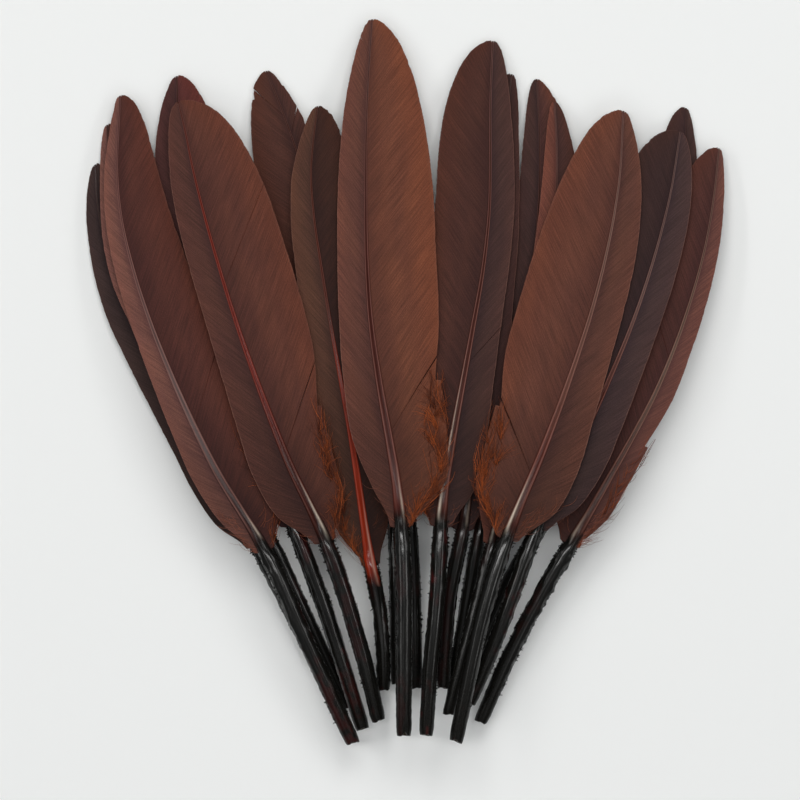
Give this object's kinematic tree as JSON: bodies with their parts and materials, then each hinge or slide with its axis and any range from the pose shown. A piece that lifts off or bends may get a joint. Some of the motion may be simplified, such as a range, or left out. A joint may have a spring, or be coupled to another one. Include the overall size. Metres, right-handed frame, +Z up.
{
  "type": "fan of uncut pen quills",
  "caption": "Loose uncut wing quills lying in a fan, glossy black hollow barrels crossing at one end and brown dyed vanes spread at the other.",
  "frame": {"origin": "middle of the underside of the whole fan's box, at the level of the table it lies on", "axes": "+Y from the cut barrel ends to the feather tips, +X to the right seen from above, +Z up off the table"},
  "size_m": [0.16, 0.1822, 0.0221],
  "materials": {
    "chestnut_vane": "satin feather vane, light red brown",
    "russet_vane": "satin feather vane, red brown",
    "rosewood_vane": "satin feather vane, dark red brown",
    "plum_vane": "satin feather vane, dark plum brown",
    "slate_vane": "satin feather vane, purple grey brown",
    "black_shaft": "glossy keratin, dyed near black on the barrel and dark red on the rachis",
    "red_shaft": "glossy keratin, orange red rachis above a near black barrel",
    "down": "matte rust coloured down"
  },
  "bodies": {
    "quill_01": {"quill_01_shaft": "black_shaft", "quill_01_wide_vane": "slate_vane", "quill_01_narrow_vane": "slate_vane"},
    "quill_02": {"quill_02_shaft": "black_shaft", "quill_02_wide_vane": "russet_vane", "quill_02_narrow_vane": "russet_vane"},
    "quill_03": {"quill_03_shaft": "black_shaft", "quill_03_wide_vane": "rosewood_vane", "quill_03_narrow_vane": "rosewood_vane"},
    "quill_04": {"quill_04_shaft": "black_shaft", "quill_04_wide_vane": "plum_vane", "quill_04_narrow_vane": "plum_vane"},
    "quill_05": {"quill_05_shaft": "black_shaft", "quill_05_wide_vane": "rosewood_vane", "quill_05_narrow_vane": "rosewood_vane"},
    "quill_06": {"quill_06_shaft": "black_shaft", "quill_06_wide_vane": "plum_vane", "quill_06_narrow_vane": "plum_vane"},
    "quill_07": {"quill_07_shaft": "black_shaft", "quill_07_wide_vane": "russet_vane", "quill_07_narrow_vane": "russet_vane", "quill_07_down_tuft": "down"},
    "quill_08": {"quill_08_shaft": "black_shaft", "quill_08_wide_vane": "plum_vane", "quill_08_narrow_vane": "plum_vane"},
    "quill_09": {"quill_09_shaft": "black_shaft", "quill_09_wide_vane": "plum_vane", "quill_09_narrow_vane": "plum_vane"},
    "quill_10": {"quill_10_shaft": "red_shaft", "quill_10_wide_vane": "chestnut_vane", "quill_10_narrow_vane": "chestnut_vane", "quill_10_down_tuft": "down"},
    "quill_11": {"quill_11_shaft": "black_shaft", "quill_11_wide_vane": "russet_vane", "quill_11_narrow_vane": "russet_vane", "quill_11_down_tuft": "down"},
    "quill_12": {"quill_12_shaft": "black_shaft", "quill_12_wide_vane": "rosewood_vane", "quill_12_narrow_vane": "rosewood_vane"},
    "quill_13": {"quill_13_shaft": "black_shaft", "quill_13_wide_vane": "slate_vane", "quill_13_narrow_vane": "slate_vane", "quill_13_down_tuft": "down"},
    "quill_14": {"quill_14_shaft": "black_shaft", "quill_14_wide_vane": "plum_vane", "quill_14_narrow_vane": "plum_vane", "quill_14_down_tuft": "down"},
    "quill_15": {"quill_15_shaft": "black_shaft", "quill_15_wide_vane": "russet_vane", "quill_15_narrow_vane": "russet_vane", "quill_15_down_tuft": "down"},
    "quill_16": {"quill_16_shaft": "black_shaft", "quill_16_wide_vane": "russet_vane", "quill_16_narrow_vane": "russet_vane", "quill_16_down_tuft": "down"},
    "quill_17": {"quill_17_shaft": "black_shaft", "quill_17_wide_vane": "chestnut_vane", "quill_17_narrow_vane": "chestnut_vane", "quill_17_down_tuft": "down"}
  },
  "joints": [
    {"name": "lift_quill_02", "type": "slide", "parent": "quill_01", "child": "quill_02", "axis": [0, 0, 1], "range_m": [0, 0.018]},
    {"name": "lift_quill_03", "type": "slide", "parent": "quill_02", "child": "quill_03", "axis": [0, 0, 1], "range_m": [0, 0.018]},
    {"name": "lift_quill_04", "type": "slide", "parent": "quill_03", "child": "quill_04", "axis": [0, 0, 1], "range_m": [0, 0.018]},
    {"name": "lift_quill_05", "type": "slide", "parent": "quill_04", "child": "quill_05", "axis": [0, 0, 1], "range_m": [0, 0.018]},
    {"name": "lift_quill_06", "type": "slide", "parent": "quill_05", "child": "quill_06", "axis": [0, 0, 1], "range_m": [0, 0.018]},
    {"name": "lift_quill_07", "type": "slide", "parent": "quill_06", "child": "quill_07", "axis": [0, 0, 1], "range_m": [0, 0.018]},
    {"name": "lift_quill_08", "type": "slide", "parent": "quill_07", "child": "quill_08", "axis": [0, 0, 1], "range_m": [0, 0.018]},
    {"name": "lift_quill_09", "type": "slide", "parent": "quill_08", "child": "quill_09", "axis": [0, 0, 1], "range_m": [0, 0.018]},
    {"name": "lift_quill_10", "type": "slide", "parent": "quill_09", "child": "quill_10", "axis": [0, 0, 1], "range_m": [0, 0.018]},
    {"name": "lift_quill_11", "type": "slide", "parent": "quill_10", "child": "quill_11", "axis": [0, 0, 1], "range_m": [0, 0.018]},
    {"name": "lift_quill_12", "type": "slide", "parent": "quill_11", "child": "quill_12", "axis": [0, 0, 1], "range_m": [0, 0.018]},
    {"name": "lift_quill_13", "type": "slide", "parent": "quill_12", "child": "quill_13", "axis": [0, 0, 1], "range_m": [0, 0.018]},
    {"name": "lift_quill_14", "type": "slide", "parent": "quill_13", "child": "quill_14", "axis": [0, 0, 1], "range_m": [0, 0.018]},
    {"name": "lift_quill_15", "type": "slide", "parent": "quill_14", "child": "quill_15", "axis": [0, 0, 1], "range_m": [0, 0.018]},
    {"name": "lift_quill_16", "type": "slide", "parent": "quill_15", "child": "quill_16", "axis": [0, 0, 1], "range_m": [0, 0.018]},
    {"name": "lift_quill_17", "type": "slide", "parent": "quill_16", "child": "quill_17", "axis": [0, 0, 1], "range_m": [0, 0.018]}
  ]
}
